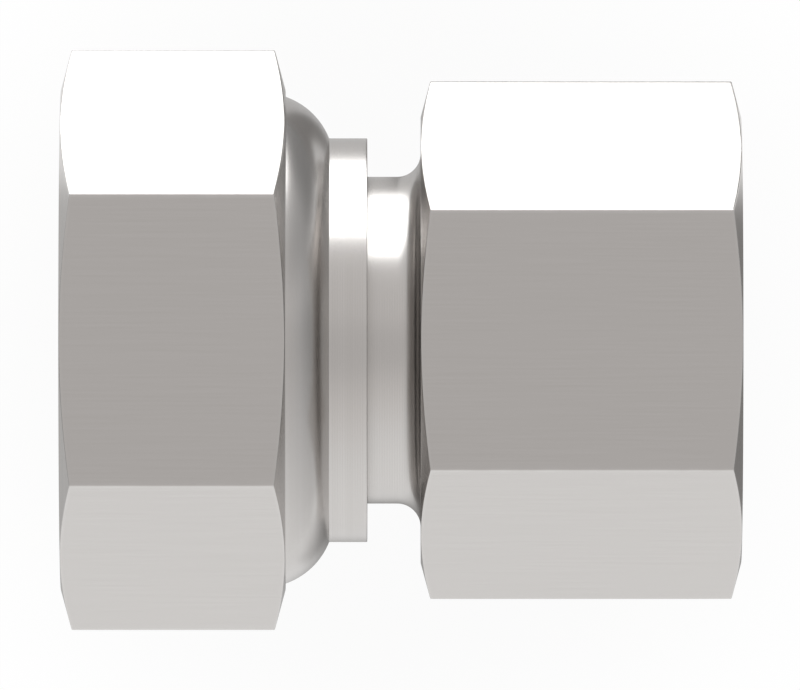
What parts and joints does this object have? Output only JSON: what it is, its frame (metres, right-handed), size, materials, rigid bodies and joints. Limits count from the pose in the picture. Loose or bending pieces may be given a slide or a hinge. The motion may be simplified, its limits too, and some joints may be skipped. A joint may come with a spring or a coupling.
{
  "type": "straight pipe adapter",
  "caption": "Straight steel pipe adapter: a hexagon body with a female pipe port, and a hexagon swivel nut crimped on its tail over a cone nose.",
  "frame": {"origin": "on the common centre line of nut and body, at mid-length of the whole adapter", "axes": "+X along the centre line from the nut to the port, +Z square to a flat of both hexagons, +Y through their corners"},
  "size_m": [0.0432, 0.037, 0.032],
  "materials": {
    "body_steel": "bright drawn hexagon bar, fine turned ends, neck and bores",
    "nut_steel": "bright drawn hexagon bar, fine turned ends and bore, rolled skirt"
  },
  "bodies": {
    "adapter": {"adapter_body": "body_steel"},
    "nut": {"swivel_nut": "nut_steel"}
  },
  "joints": [
    {"name": "nut_swivel", "type": "hinge", "parent": "adapter", "child": "nut", "pos_m": [-0.00885, 0, 0], "axis": [1, 0, 0], "continuous": true}
  ]
}
